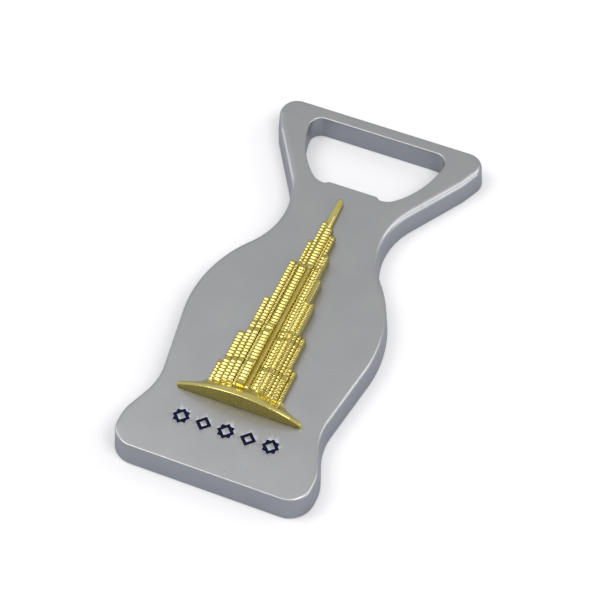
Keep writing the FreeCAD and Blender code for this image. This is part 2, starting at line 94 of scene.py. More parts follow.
MOTIF_Y, MOTIF_PITCH = -43.5, 5.5
STAR_RADIUS, STAR_ISLAND = 2.15, 1.15
LOZENGE_RADIUS, LOZENGE_ISLAND = 2.0, 0.95
STAR_ROUNDING, LOZENGE_ROUNDING, ISLAND_ROUNDING = 0.1, 0.15, 0.12
MOTIFS = ["star", "lozenge", "star", "lozenge", "star"]
POCKET_RIM = 0.07
PEGS = [(-0.5, -26.0), (-0.5, -2.0)]
PEG_RADIUS, PEG_LENGTH, PEG_CHAMFER = 1.5, 3.0, 0.3
PEG_HOLE_RADIUS, PEG_HOLE_DEPTH = 1.6, 3.3
# Enamel: climb at the channel's wall, and gap to the wall as a share of the ornament's size.
MENISCUS, ENAMEL_CLEARANCE = 0.06, 0.004
# Spacing of the points inside the plate's front face, and how far they stay from its edges.
FACE_GRID, FACE_MARGIN = 1.6, 0.5
WELD, SHARP_ANGLE = 1e-7, 40

# ---------------------------------------------------------------- materials

# Places of the Mix node's colour sockets, which share their names with its other sockets.
MIX_SHARE, MIX_FIRST, MIX_SECOND, MIX_COLOUR = 0, 6, 7, 2


class Finish:
    """A node material in the making: its shader, and short calls that add and join nodes."""

    def __init__(self, name, **sockets):
        self.material = bpy.data.materials.new(name)
        self.material.use_nodes = True
        self.nodes = self.material.node_tree.nodes
        self.links = self.material.node_tree.links
        self.shader = self.nodes["Principled BSDF"]
        for socket, value in sockets.items():
            self.shader.inputs[socket.replace("_", " ")].default_value = value
        self.place = self.add("ShaderNodeTexCoord").outputs["Object"]

    def add(self, kind, inputs=(), **settings):
        node = self.nodes.new(kind)
        for name, value in settings.items():
            setattr(node, name, value)
        for socket, value in dict(inputs).items():
            if isinstance(value, bpy.types.NodeSocket):
                self.links.new(value, node.inputs[socket])
            else:
                node.inputs[socket].default_value = value
        return node

    def noise(self, size, detail=2.0, roughness=0.5):
        """Noise with features of about size millimetres; returns its grey output, 0 to 1."""
        inputs = {
            "Vector": self.place,
            "Scale": 1 / (size * MM),
            "Detail": detail,
            "Roughness": roughness,
        }
        return self.add("ShaderNodeTexNoise", inputs).outputs["Fac"]

    def ranged(self, value, low, high, to_low, to_high):
        """Map a range of a value to another, clamped at both ends."""
        inputs = {"Value": value, "From Min": low, "From Max": high, "To Min": to_low, "To Max": to_high}
        return self.add("ShaderNodeMapRange", inputs).outputs[0]

    def math(self, operation, first, second):
        return self.add("ShaderNodeMath", {0: first, 1: second}, operation=operation).outputs[0]

    def mixed(self, share, first, second):
        """Blend of two colours."""
        inputs = {MIX_SHARE: share, MIX_FIRST: first, MIX_SECOND: second}
        return self.add("ShaderNodeMix", inputs, data_type="RGBA").outputs[MIX_COLOUR]

    def bumped(self, height, depth, normal=None):
        """Bump of depth millimetres from a grey height."""
        inputs = {"Height": height, "Distance": depth * MM, "Strength": 1.0}
        if normal is not None:
            inputs["Normal"] = normal
        return self.add("ShaderNodeBump", inputs).outputs[0]

    def attribute(self, name):
        return self.add("ShaderNodeAttribute", attribute_name=name).outputs["Fac"]

    def surface(self, colour=None, roughness=None, normal=None):
        for socket, value in (("Base Color", colour), ("Roughness", roughness), ("Normal", normal)):
            if value is not None:
                self.links.new(value, self.shader.inputs[socket])
        return self.material


def nickel():
    """Satin nickel over cast zinc: a fine grain, faint clouding and a few casting pits, dented by bump and
    painted dark as painted shade inside them.
    """
    finish = Finish("satin_nickel", Metallic=1.0)
    grain = finish.noise(0.22, 3.0, 0.6)
    cloud = finish.noise(9.0, 3.0, 0.55)
    cells = finish.add("ShaderNodeTexVoronoi", {"Vector": finish.place, "Scale": 1 / (3.2 * MM)})
    pits = finish.ranged(cells.outputs["Distance"], 0.02, 0.07, 1.0, 0.0)
    rare = finish.ranged(finish.noise(14.0, 1.0), 0.56, 0.62, 0.0, 1.0)
    pits = finish.math("MULTIPLY", pits, rare)
    clouded = finish.ranged(cloud, 0.3, 0.7, 0.0, 1.0)
    colour = finish.mixed(clouded, (0.470, 0.476, 0.484, 1), (0.505, 0.508, 0.510, 1))
    # Painted shade: the casting pits are painted near black.
    colour = finish.mixed(pits, colour, (0.16, 0.17, 0.19, 1))
    roughness = finish.ranged(grain, 0.3, 0.7, 0.34, 0.40)
    bump = finish.bumped(grain, 0.006)
    bump = finish.bumped(finish.math("MULTIPLY", pits, -1.0), 0.06, bump)
    return finish.surface(colour, roughness, bump)


def gold():
    """Bright lemon gold plating, rougher in the grooves, with painted shade: darker in the grooves, on the
    relief's walls and foot and on the podium's front.
    """
    finish = Finish("lemon_gold_plate", Metallic=1.0)
    grain = finish.noise(0.3, 3.0, 0.6)
    cloud = finish.noise(4.0, 3.0, 0.5)
    painted_shade = finish.attribute("detail")
    clouded = finish.ranged(cloud, 0.3, 0.7, 0.0, 1.0)
    colour = finish.mixed(clouded, (0.77, 0.66, 0.20, 1), (0.83, 0.72, 0.26, 1))
    # Painted shade: the plating turns dark olive where the attribute marks grooves, the relief's walls and
    # foot, and the podium's front.
    colour = finish.mixed(finish.math("MULTIPLY", painted_shade, 0.85), colour, (0.20, 0.155, 0.004, 1))
    roughness = finish.ranged(grain, 0.3, 0.7, 0.13, 0.22)
    roughness = finish.math("ADD", roughness, finish.math("MULTIPLY", painted_shade, 0.10))
    wavy = finish.bumped(finish.noise(1.1, 2.0), 0.05)
    return finish.surface(colour, roughness, finish.bumped(grain, 0.01, wavy))


def enamel():
    """Dark navy enamel with a slight orange peel and a weak gloss."""
    finish = Finish("navy_enamel", Specular_IOR_Level=0.1)
    cloud = finish.noise(0.8, 3.0, 0.6)
    colour = finish.mixed(cloud, (0.002, 0.003, 0.016, 1), (0.006, 0.010, 0.045, 1))
    roughness = finish.ranged(finish.noise(0.3, 2.0), 0.3, 0.7, 0.12, 0.25)
    return finish.surface(colour, roughness, finish.bumped(finish.noise(0.5, 2.0), 0.012))


def adhesive():
    """Amber contact adhesive under the relief, with small bubbles."""
    finish = Finish("contact_adhesive")
    cells = finish.add("ShaderNodeTexVoronoi", {"Vector": finish.place, "Scale": 1 / (0.6 * MM)})
    bubbles = finish.ranged(cells.outputs["Distance"], 0.1, 0.3, 1.0, 0.0)
    colour = finish.mixed(bubbles, (0.30, 0.22, 0.10, 1), (0.42, 0.34, 0.20, 1))
    roughness = finish.ranged(finish.noise(0.5, 2.0), 0.3, 0.7, 0.45, 0.65)
    return finish.surface(colour, roughness, finish.bumped(bubbles, 0.02))


FINISHES = {"plate_metal": nickel, "gold_plate": gold, "enamel": enamel, "adhesive": adhesive}


# ---------------------------------------------------------------- mesh helpers


def make_piece(name, points, faces, slot, replaces, values=None):
    """Mesh from millimetre points and faces, smooth shaded, riding on the body. values, one a point, go to
    the mesh attribute "detail", which the gold finish reads as painted shade."""
    mesh = bpy.data.meshes.new(name)
    mesh.from_pydata((np.asarray(points, float) * MM).tolist(), [], faces)
    detail = mesh.attributes.new("detail", "FLOAT", "POINT")
    detail.data.foreach_set("value", np.zeros(len(points)) if values is None else values)
    build = bmesh.new()
    build.from_mesh(mesh)
    bmesh.ops.remove_doubles(build, verts=build.verts, dist=WELD)
    bmesh.ops.dissolve_degenerate(build, dist=WELD, edges=build.edges)
    bmesh.ops.recalc_face_normals(build, faces=build.faces)
    build.to_mesh(mesh)
    build.free()
    mesh.materials.append(FINISHES[slot]())
    mesh.shade_smooth()
    mesh.set_sharp_from_angle(angle=math.radians(SHARP_ANGLE))
    piece = bpy.data.objects.new(name, mesh)
    bpy.context.scene.collection.objects.link(piece)
    weighted = piece.modifiers.new("Face weighted normals", "WEIGHTED_NORMAL")
    weighted.keep_sharp = True
    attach(piece, BODY)
    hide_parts(*replaces)
    return piece


def arc(centre, radius, start, end, step=0.35):
    """Points on an arc from one angle to another, end points included."""
    count = max(4, int(math.ceil(abs(end - start) * radius / step)))
    angles = np.linspace(start, end, count + 1)
    return np.column_stack([centre[0] + radius * np.cos(angles), centre[1] + radius * np.sin(angles)])


def straight(start, end, step=1.5):
    """Points between two ends of a line, the ends left out."""
    start, end = np.array(start, float), np.array(end, float)
    count = int(np.linalg.norm(end - start) / step)
    shares = np.arange(1, count + 1) / (count + 1)
    return start + shares[:, None] * (end - start)


def round_corner(before, corner, after, radius, step=0.35):
    """Points of the arc that rounds a corner."""
    before, corner, after = (np.array(p, float) for p in (before, corner, after))
    back = (before - corner) / np.linalg.norm(before - corner)
    on = (after - corner) / np.linalg.norm(after - corner)
    half = math.acos(np.clip(back @ on, -1, 1)) / 2
    middle = (back + on) / np.linalg.norm(back + on)
    centre = corner + middle * radius / math.sin(half)
    first = corner + back * radius / math.tan(half) - centre
    last = corner + on * radius / math.tan(half) - centre
    start = math.atan2(first[1], first[0])
    turn = (math.atan2(last[1], last[0]) - start + math.pi) % (2 * math.pi) - math.pi
    return arc(centre, radius, start, start + turn, step)


def rounded_loop(corners, step=0.35, line_step=1.5):
    """Closed loop through corners (x, y, radius), each rounded by an arc."""
    pieces = []
    count = len(corners)
    bends = [
        round_corner(corners[i - 1][:2], corners[i][:2], corners[(i + 1) % count][:2], corners[i][2], step)
        for i in range(count)
    ]
    for i, bend in enumerate(bends):
        pieces += [bend, straight(bend[-1], bends[(i + 1) % count][0], line_step)]
    return np.vstack(pieces)


def mirrored(right):
    """Closed loop from its right half, which starts and ends near x = 0."""
    return np.vstack([right, right[::-1] * [-1, 1]])


def loop_normals(loop):
    """Unit normals that point out of a counter-clockwise loop, averaged at each point."""
    ahead = np.roll(loop, -1, 0) - loop
    ahead /= np.linalg.norm(ahead, axis=1)[:, None]
    along = ahead + np.roll(ahead, 1, 0)
    along /= np.linalg.norm(along, axis=1)[:, None]
    return np.column_stack([along[:, 1], -along[:, 0]])


def at_height(loop, z):
    """Loop of 2-D points as 3-D points at one height, or at a height each."""
    return np.column_stack([loop, np.broadcast_to(z, len(loop))])


def inside(points, loops):
    """Even-odd test of 2-D points against closed loops."""
    found = np.zeros(len(points), bool)
    for loop in loops:
        a, b = loop, np.roll(loop, -1, 0)
        for (x0, y0), (x1, y1) in zip(a, b):
            crosses = (y0 > points[:, 1]) != (y1 > points[:, 1])
            if y0 != y1:
                at = x0 + (points[:, 1] - y0) * (x1 - x0) / (y1 - y0)
                found ^= crosses & (points[:, 0] < at)
    return found


def distance_to(points, loops):
    """Distance from 2-D points to the nearest side of closed loops."""
    nearest = np.full(len(points), np.inf)
    for loop in loops:
        for a, b in zip(loop, np.roll(loop, -1, 0)):
            side = b - a
            share = np.clip(((points - a) @ side) / max(side @ side, 1e-12), 0, 1)
            nearest = np.minimum(nearest, np.linalg.norm(points - a - share[:, None] * side, axis=1))
    return nearest


def grid_inside(loops, step, margin):
    """Evenly spaced points inside the loops and clear of their sides."""
    everything = np.vstack(loops)
    low, high = everything.min(0), everything.max(0)
    xs, ys = (np.arange(low[i] + step / 2, high[i], step) for i in (0, 1))
    points = np.array([(x + (j % 2) * step / 2, y) for j, y in enumerate(ys) for x in xs])
    points = points[inside(points, loops)]
    return points[distance_to(points, loops) > margin]


def triangles_between(loops, extra):
    """Triangles over the region between closed loops, by the even-odd rule. They index the
    loops' points in order, and then the extra points."""
    points = np.vstack(loops + ([extra] if len(extra) else []))
    edges, first = [], 0
    for loop in loops:
        count = len(loop)
        edges += [(first + i, first + (i + 1) % count) for i in range(count)]
        first += count
    found = delaunay_2d_cdt([Vector(p) for p in points], edges, [], 1, WELD)
    faces, sources = found[2], found[3]
    if any(not s for s in sources):
        raise RuntimeError("loops cross each other")
    index = [s[0] for s in sources]
    faces = np.array([[index[v] for v in face] for face in faces])
    keep = inside(points[faces].mean(1), loops)
    return faces[keep].tolist()


class Shell:
    """Collects points and faces of one closed mesh."""

    def __init__(self):
        self.points, self.faces, self.count = [], [], 0

    def add(self, points):
        first = self.count
        self.points.append(np.asarray(points, float))
        self.count += len(points)
        return first

    def rings(self, rings):
        """Join equal closed rings one after another; returns the first index of each."""
        starts = [self.add(ring) for ring in rings]
        size = len(rings[0])
        for a, b in zip(starts, starts[1:]):
            self.faces += [(a + i, a + (i + 1) % size, b + (i + 1) % size, b + i) for i in range(size)]
        return starts

    def fill(self, loops, z, extra=()):
        """Flat face between loops; remove_doubles later joins it to the rings round it."""
        extra = np.asarray(extra, float).reshape(-1, 2)
        flat = np.vstack(loops + [extra])
        first = self.add(at_height(flat, z))
        self.faces += [[first + v for v in face] for face in triangles_between(loops, extra)]

    def piece(self, name, slot, replaces, **options):
        return make_piece(name, np.vstack(self.points), self.faces, slot, replaces, **options)


# ---------------------------------------------------------------- plate outlines


def plate_outline():
    """The plate's edge at its back face."""
    left = [(-x, y, radius) for x, y, radius in reversed(PLATE_CORNERS)]
    return rounded_loop(PLATE_CORNERS + left, step=0.4, line_step=1.2)


def window_right_half():
    """Right half of the window's edge, from the middle of the lip round to the roof."""
    reach_low = SIDE_RADIUS - LOW_RADIUS
    reach_high = SIDE_RADIUS - HIGH_RADIUS
    drop = WINDOW_BOTTOM + LOW_RADIUS - SIDE_CENTRE[1]
    rise = WINDOW_TOP - HIGH_RADIUS - SIDE_CENTRE[1]
    low = (SIDE_CENTRE[0] + math.sqrt(reach_low ** 2 - drop ** 2), WINDOW_BOTTOM + LOW_RADIUS)
    high = (SIDE_CENTRE[0] + math.sqrt(reach_high ** 2 - rise ** 2), WINDOW_TOP - HIGH_RADIUS)
    low_angle = math.atan2(drop, low[0] - SIDE_CENTRE[0])
    high_angle = math.atan2(rise, high[0] - SIDE_CENTRE[0])
    scoop_angle = -math.acos((SCOOP_HALF - low[0]) / LOW_RADIUS)
    lip_y = WINDOW_BOTTOM + LIP_HEIGHT
    lip_end, lip_foot = (LIP_HALF, lip_y), (LIP_HALF + LIP_SHOULDER, WINDOW_BOTTOM)
    to_scoop = np.vstack([
        straight((0, lip_y), (LIP_HALF - LIP_CORNER, lip_y), 1.0),
        round_corner((0, lip_y), lip_end, lip_foot, LIP_CORNER, 0.1),
        round_corner(lip_end, lip_foot, (low[0], WINDOW_BOTTOM), LIP_CORNER, 0.1),
        arc(low, LOW_RADIUS, -math.pi / 2, scoop_angle, 0.2),
    ])
    beyond = np.vstack([
        arc(low, LOW_RADIUS, scoop_angle, low_angle)[1:],
        arc(SIDE_CENTRE, SIDE_RADIUS, low_angle, high_angle, 0.8)[1:],
        arc(high, HIGH_RADIUS, high_angle, math.pi / 2)[1:],
        straight((high[0], WINDOW_TOP), (0, WINDOW_TOP), 1.2),
    ])
    return to_scoop, beyond


def scoop_outline():
    """Edge of the scoop behind the lip, from its right end round to its left end."""
    floor = WINDOW_BOTTOM - SCOOP_DEPTH
    right = np.vstack([
        arc((SCOOP_HALF - SCOOP_RADIUS, floor + SCOOP_RADIUS), SCOOP_RADIUS, 0, -math.pi / 2, 0.3),
        straight((SCOOP_HALF - SCOOP_RADIUS, floor), (0, floor), 1.0),
    ])
    return mirrored(right)


def star_corners(radius, rounding):
    """Eight-pointed star made by two squares."""
    notch = radius * math.cos(math.pi / 4) / math.cos(math.pi / 8)
    angles = [i * math.pi / 8 for i in range(16)]
    radii = [radius if i % 2 == 0 else notch for i in range(16)]
    return [(r * math.cos(a), r * math.sin(a), rounding) for r, a in zip(radii, angles)]


def lozenge_corners(radius, rounding):
    """Square standing on its point."""
    angles = [i * math.pi / 2 for i in range(4)]
    return [(radius * math.cos(a), radius * math.sin(a), rounding) for a in angles]


def motif_loops(kind, place):
    """Outer edge and island edge of one ornament."""
    if kind == "star":
        outer = rounded_loop(star_corners(STAR_RADIUS, STAR_ROUNDING), 0.04, 0.2)
        island = rounded_loop(lozenge_corners(STAR_ISLAND, ISLAND_ROUNDING), 0.05, 0.25)
    else:
        outer = rounded_loop(lozenge_corners(LOZENGE_RADIUS, LOZENGE_ROUNDING), 0.05, 0.25)
        island = rounded_loop(lozenge_corners(LOZENGE_ISLAND, ISLAND_ROUNDING), 0.05, 0.25)
    return outer + place, island + place


def motif_place(index):
    """Centre of one ornament of the row."""
    return np.array([(index - len(MOTIFS) // 2) * MOTIF_PITCH, MOTIF_Y])


MOTIF_LOOPS = [motif_loops(kind, motif_place(index)) for index, kind in enumerate(MOTIFS)]


# ---------------------------------------------------------------- plate


def edge_rings(loop, normals, radius, level, steps, down=True):
    """Rings of a rounded edge, from an upright wall to the flat face. normals point out of the
    metal."""
    radius = np.broadcast_to(radius, len(loop))
    rings = []
    for angle in np.linspace(0, math.pi / 2, steps + 1):
        out = -radius * (1 - math.cos(angle))
        rise = radius * (math.sin(angle) - 1)
        z = level + rise if down else level - rise
        rings.append(np.column_stack([loop + normals * out[:, None], z]))
    return rings


def build_plate():
    """The plate as one closed shell, with window, lip, ornament pockets and peg holes."""
    shell = Shell()
    outline = plate_outline()
    outward = loop_normals(outline)
    slope = math.tan(WALL_DRAFT)
    top_radius = np.interp(outline[:, 1], *zip(*FRONT_RADIUS))
    rings = []
    for angle in np.linspace(-math.pi / 2, WALL_DRAFT, BACK_STEPS):
        centre = -(BACK_RADIUS * (1 + math.sin(WALL_DRAFT)) * slope + BACK_RADIUS * math.cos(WALL_DRAFT))
        out = centre + BACK_RADIUS * math.cos(angle)
        rings.append(at_height(outline + outward * out, BACK_RADIUS * (1 + math.sin(angle))))
    for z in WALL_RINGS:
        rings.append(at_height(outline - outward * z * slope, z))
    for angle in np.linspace(WALL_DRAFT, math.pi / 2, FRONT_STEPS):
        level = FRONT - top_radius
        centre = -((level + top_radius * math.sin(WALL_DRAFT)) * slope + top_radius * math.cos(WALL_DRAFT))
        out = centre + top_radius * math.cos(angle)
        rings.append(at_height(outline + outward * out[:, None], level + top_radius * math.sin(angle)))
    shell.rings(rings)
    back_edge, front_edge = rings[0][:, :2], rings[-1][:, :2]

    to_scoop, beyond = window_right_half()
    window = mirrored(np.vstack([to_scoop, beyond]))
    scoop = scoop_outline()
    into_metal = loop_normals(window)
    lip_share = np.interp(window[:, 1] - WINDOW_BOTTOM, LIP_BLEND, [1, 0])
    rim = RIM_RADIUS + (LIP_EDGE_RADIUS - RIM_RADIUS) * lip_share
    upper = edge_rings(window, -into_metal, rim, FRONT, steps=5)
    lip_level = FRONT - LIP_THICKNESS
    shell.rings([at_height(window, lip_level)] + upper)

    lip_end = len(to_scoop)
    around = window[lip_end:len(window) - lip_end]
    lip_sides = window[len(window) - lip_end][None], window[lip_end - 1][None]
    lower = np.vstack([around, lip_sides[0], scoop[::-1], lip_sides[1]])
    back_rings = edge_rings(lower, -loop_normals(lower), WINDOW_BACK_RADIUS, 0, steps=4, down=False)
    shell.rings([at_height(lower, lip_level)] + back_rings)
    lip_part = np.vstack([window[len(window) - lip_end:], window[:lip_end]])
    shell.fill([np.vstack([lip_part, scoop])], lip_level)

    front_loops = [front_edge, upper[-1][:, :2]]
    for outer, island in MOTIF_LOOPS:
        for loop, side in ((outer, -1), (island, 1)):
            rim_rings = edge_rings(loop, side * loop_normals(loop), POCKET_RIM, FRONT, steps=3)
            shell.rings([at_height(loop, POCKET_FLOOR)] + rim_rings)
            front_loops.append(rim_rings[-1][:, :2])
        shell.fill([outer, island], POCKET_FLOOR)
    for place in PEGS:
        ring = arc(place, PEG_HOLE_RADIUS, 0, 2 * math.pi)[:-1]
        shell.rings([at_height(ring, FRONT), at_height(ring, FRONT - PEG_HOLE_DEPTH)])
        shell.fill([ring], FRONT - PEG_HOLE_DEPTH)
        front_loops.append(ring)
    shell.fill(front_loops, FRONT, grid_inside(front_loops, FACE_GRID, FACE_MARGIN))
    shell.fill([back_edge, back_rings[-1][:, :2]], 0.0)
    return shell.piece("plate_shell", "plate_metal", ["opener_plate"])


# ---------------------------------------------------------------- tower relief

# Upright strips of the tower, from left to right: edges, height over the foot, far end, surface.
# A storey is one pillow or slat, or two beads, or two beads cut by cross grooves (lattice).
# Surfaces named plain have no storeys.
STRIPS = [
    (-9.1, -7.9, 1.7, -26.4, "pillow"),
    (-7.9, -6.0, 2.5, -17.4, "pillow"),
    (-6.0, -4.5, 3.2, -6.5, "pillow"),
    (-4.5, -2.95, 3.7, 5.4, "pillow"),
    (-3.0, -1.95, 3.05, 13.3, "pillow"),
    (-2.95, -2.2, 3.3, 5.4, "bead"),
    (-2.2, -0.9, 2.4, 20.1, "pillow"),
    (-2.0, 0.0, 4.7, -14.2, "pillow"),
    (-1.9, 0.0, 4.0, 5.0, "pillow"),
    (0.0, 0.9, 3.5, 5.0, "plain"),
    (-0.9, 1.1, 3.1, 18.2, "pillow"),
    (1.1, 1.6, 2.6, 16.6, "bead"),
    (1.6, 2.3, 2.4, 16.6, "slat"),
    (1.6, 2.75, 2.7, 10.1, "slat"),
    (2.75, 3.4, 3.3, 10.1, "bead"),
    (3.4, 4.5, 3.4, 2.6, "plain"),
    (3.4, 4.75, 3.6, -4.4, "lattice"),
    (4.75, 5.6, 3.3, -4.4, "bead"),
    (5.6, 6.45, 2.9, -13.9, "slat"),
    (6.45, 7.4, 2.4, -13.9, "bead"),
    (6.45, 8.0, 2.5, -23.0, "lattice"),
    (8.0, 8.9, 1.7, -23.0, "bead"),
]
SHAFT_END = max(end for left, right, height, end, kind in STRIPS)
TOWER_FOOT = -33.0
STOREY = 0.92
# Storeys left plain, where a tier beside them ends: their lower and upper edge.
PLAIN_BANDS = [(-33.0, -32.6), (-26.9, -25.9), (-17.6, -16.6), (-15.1, -14.2), (5.0, 5.9)]
# Depth below a strip's crown: in a plain storey, in a joint between storeys, and how much more
# at the strip's sides.
SURFACES = {
    "pillow": (0.12, 0.4, 0.5),
    "bead": (0.1, 0.34, 0.3),
    "slat": (0.1, 0.38, 0.35),
    "lattice": (0.1, 0.38, 0.25),
    "plain": (0.12, 0.0, 0.2),
}
# A leaning slab: its height where it starts, and the shares of a storey where its start is done
# and where its top is.
SLAB_START, SLAB_LEAD, SLAB_TOP = 0.6, 0.08, 0.7
# Groove depth at which the painted shade in a groove is full.
GROOVE_DEPTH = 0.4
# Painted shade on the plating along the foot of the relief and on the podium's front, from 0 to 1.
FOOT_SHADE, FRONT_SHADE = 0.95, 0.75
# A strip's far end is rounded over this length, by this share of its height.
CAP_LENGTH, CAP_SHARE = 1.0, 0.35
# A strip rises from the podium over this length, after a first step of this share of its rise.
FOOT_RAMP, FOOT_STEP = 1.2, 0.05
# Grid of the relief: half width of a step, spacing across a strip, lines a storey, the least gap
# between two lines, and extra lines next to the podium's tips. SLACK lets an edge count as inside.
WALL_GAP, STRIP_GRID, STOREY_LINES, LEAST_GAP = 0.02, 0.17, 9, 0.012
TIP_LINES = (0.15, 0.04)
SLACK = 1e-6
SPIRE_X, SPIRE_RADIUS, SPIRE_START, SPIRE_END = -0.95, 0.9, 17.5, 28.4
# Width at the tip as a share of the full width; two long grooves: depth, place and half width,
# the last two as shares of the spire's half width.
SPIRE_TIP_SHARE, SPIRE_GROOVE, GROOVE_AT, GROOVE_HALF = 0.85, 0.1, 0.4, 0.12
# Podium sections: y, half width, height at the edge and height in the middle.
PODIUM = [
    (-36.6, 15.1, 1.0, 4.85),
    (-36.3, 15.45, 1.0, 4.73),
    (-35.5, 15.1, 0.9, 4.4),
    (-34.7, 13.0, 0.8, 4.05),
    (-33.3, 10.3, 0.6, 3.3),
    (-31.8, 9.15, 0.4, 2.4),
]
PODIUM_RIM = 0.4
FAN_START = 9.1


def hump(share):
    """Round hump over 0 to 1: zero at both ends and one in the middle."""
    return np.sqrt(np.clip(1 - (2 * share - 1) ** 2, 0, 1))


def louvre(share):
    """Leaning slab over 0 to 1: it rises slowly, turns over and drops into a deep joint."""
    rise = SLAB_START + (1 - SLAB_START) * np.clip(share / SLAB_TOP, 0, 1)
    start = np.clip(share / SLAB_LEAD, 0, 1)
    fall = np.clip((share - SLAB_TOP) / (1 - SLAB_TOP), 0, 1)
    return rise * np.sqrt(1 - (1 - start) ** 2) * np.sqrt(1 - fall ** 2)


def surface(kind, across, storeys, bands):
    """Depth below the strip's crown. across runs from -1 to 1 over its width."""
    side = 1 - np.sqrt(np.clip(1 - np.abs(across) ** 6, 0, 1))
    plain_depth, joint_depth, side_depth = SURFACES[kind]
    if kind in ("pillow", "slat"):
        relief = louvre(storeys % 1.0)
    else:
        relief = hump(storeys * 2 % 1.0)
    if kind == "lattice":
        relief = relief * np.abs(np.sin(1.5 * math.pi * across)) ** 0.5
    is_plain = bands | (kind == "plain")
    return np.where(is_plain, plain_depth, joint_depth * (1 - relief)) + side_depth * side


def podium_at(y):
    """Half width, edge height and middle height of the podium at y."""
    ys = [section[0] for section in PODIUM]
    return [np.interp(y, ys, [section[i] for section in PODIUM]) for i in (1, 2, 3)]


def podium_height(x, y):
    """Height of the podium's arched top, rounded at its front rim, and zero beyond it."""
    half, edge, middle = podium_at(y)
    share = np.clip(np.abs(x) / half, 0, 1)
    rise = middle - edge
    sagitta_radius = (half ** 2 + rise ** 2) / (2 * rise)
    arch = np.sqrt(np.clip(sagitta_radius ** 2 - (share * half) ** 2, 0, None)) - (sagitta_radius - rise)
    height = edge + np.clip(arch, 0, None)
    front = y - PODIUM[0][0]
    rim = np.clip(1 - front / PODIUM_RIM, 0, 1)
    height = height - PODIUM_RIM * (1 - np.sqrt(1 - rim ** 2))
    within = (np.abs(x) <= half + SLACK) & (y <= PODIUM[-1][0] + SLACK)
    return np.where(within, height, 0.0)


def tower_height(x, y):
    """Height of the relief over its foot at plan points, zero where there is none, and how deep
    each point lies below the crown of its strip."""
    height = podium_height(x, y)
    depth = np.zeros(height.shape)
    bands = np.zeros(np.shape(y), bool)
    for low, high in PLAIN_BANDS:
        bands |= (y >= low) & (y <= high)
    storeys = (y - TOWER_FOOT) / STOREY
    for left, right, crown, end, kind in STRIPS:
        across = (2 * x - left - right) / (right - left)
        to_end = np.clip((y - (end - CAP_LENGTH)) / CAP_LENGTH, 0, 1)
        plain = bands | (to_end > 0)
        drop = surface(kind, np.clip(across, -1, 1), storeys, plain)
        fall = (1 - np.sqrt(1 - to_end ** 2)) * min(1.0, CAP_SHARE * crown)
        level = crown - drop - fall
        up = np.clip((y - TOWER_FOOT) / FOOT_RAMP, 0, 1)
        under = podium_height(x, np.minimum(y, TOWER_FOOT))
        level = under + (level - under) * (FOOT_STEP + (1 - FOOT_STEP) * np.sqrt(1 - (1 - up) ** 2))
        inside_strip = (np.abs(across) <= 1 + SLACK) & (y >= TOWER_FOOT) & (y <= end + SLACK)
        shown = inside_strip & (level > height)
        height = np.where(shown, level, height)
        depth = np.where(shown, drop, depth)
    across = (x - SPIRE_X) / (SPIRE_RADIUS * spire_share(y))
    on_spire = (np.abs(across) <= 1 + SLACK) & (y >= SPIRE_START) & (y <= SPIRE_END + SLACK)
    rod = SPIRE_RADIUS + SPIRE_RADIUS * spire_share(y) * np.sqrt(np.clip(1 - across ** 2, 0, 1))
    rod = rod - SPIRE_GROOVE * np.exp(-((np.abs(across) - GROOVE_AT) / GROOVE_HALF) ** 2)
    shown = on_spire & (rod > height)
    return np.where(shown, rod, height), np.where(shown, 0.0, depth)


def spire_share(y):
    """Width of the spire as a share of its full width: a slow taper and a round tip."""
    taper = np.interp(y, [SHAFT_END, SPIRE_END], [1.0, SPIRE_TIP_SHARE])
    to_tip = np.clip((y - (SPIRE_END - SPIRE_RADIUS)) / SPIRE_RADIUS, 0, 0.98)
    return taper * np.sqrt(1 - to_tip ** 2)


def spaced(low, high, step):
    """Even values from low to high, both included."""
    return np.linspace(low, high, max(2, int(round((high - low) / step)) + 1))


def thinned(values, least):
    """Sorted values with near repeats dropped."""
    kept = []
    for value in sorted(values):
        if not kept or value - kept[-1] > least:
            kept.append(value)
    return np.array(kept)


def across_lines():
    """Grid lines across the tower: a pair at each strip's edge, closer together near the edges."""
    edges = {edge for strip in STRIPS for edge in strip[:2]}
    edges |= {SPIRE_X - SPIRE_RADIUS, SPIRE_X + SPIRE_RADIUS}
    edges = sorted(edges)
    lines = [edge + side for edge in edges for side in (-WALL_GAP, WALL_GAP)]
    for left, right in zip(edges, edges[1:]):
        count = max(2, int(round((right - left) / STRIP_GRID)))
        turns = np.linspace(-math.pi / 2, math.pi / 2, count + 1)[1:-1]
        lines += list((left + right) / 2 + (right - left) / 2 * np.sin(turns))
    half = PODIUM[0][1]
    fan = list(spaced(FAN_START + WALL_GAP, half, 0.45)) + [half - gap for gap in TIP_LINES]
    lines += fan + [-line for line in fan]
    return thinned(lines, LEAST_GAP)


def along_lines():
    """Grid lines along the tower: several a storey, and three at each end and band edge."""
    steps = [strip[3] for strip in STRIPS] + [TOWER_FOOT, PODIUM[-1][0], SPIRE_END]
    steps += [y for band in PLAIN_BANDS for y in band]
    lines = [y + side for y in steps for side in (-WALL_GAP, 0, WALL_GAP)]
    lines += list(np.arange(TOWER_FOOT, SHAFT_END, STOREY / STOREY_LINES))
    lines += list(PODIUM[0][0] + PODIUM_RIM * (1 - np.cos(np.linspace(0, math.pi / 2, 6))))
    lines += list(spaced(PODIUM[0][0] + PODIUM_RIM, TOWER_FOOT, 0.4))
    lines += list(spaced(SHAFT_END, SPIRE_END - SPIRE_RADIUS, 0.5))
    lines += list(SPIRE_END - SPIRE_RADIUS * (1 - np.sin(np.linspace(0, math.pi / 2, 9))))
    return thinned([y for y in lines if PODIUM[0][0] <= y <= SPIRE_END], LEAST_GAP)


